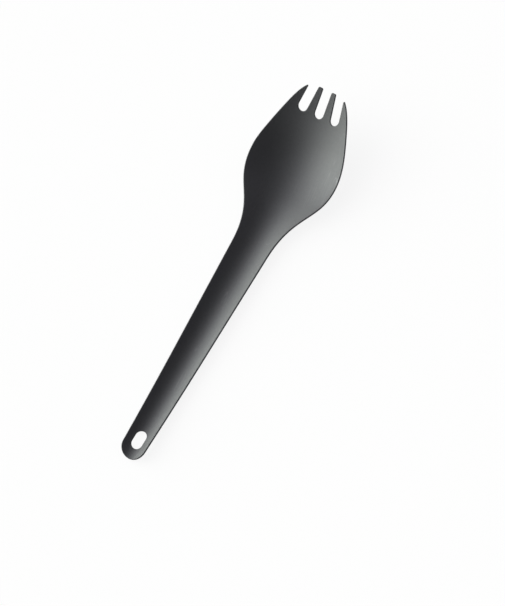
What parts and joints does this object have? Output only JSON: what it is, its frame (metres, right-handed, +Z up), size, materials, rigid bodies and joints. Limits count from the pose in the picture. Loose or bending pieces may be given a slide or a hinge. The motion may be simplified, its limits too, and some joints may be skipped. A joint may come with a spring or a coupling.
{
  "type": "spork",
  "caption": "Dark grey spork pressed from one piece of sheet metal, with a shallow bowl, slotted tines and a long tapered trough handle with a hang slot.",
  "frame": {"origin": "on the table under the middle of the spork's length, between its two sides", "axes": "+Y along the spork towards the tines, +Z up out of the bowl, +X to the right seen from above with the tines away"},
  "size_m": [0.0422, 0.1702, 0.0168],
  "materials": {
    "anodised": "dark grey hard-anodised, satin"
  },
  "bodies": {
    "root": {"spork": "anodised"}
  },
  "joints": []
}
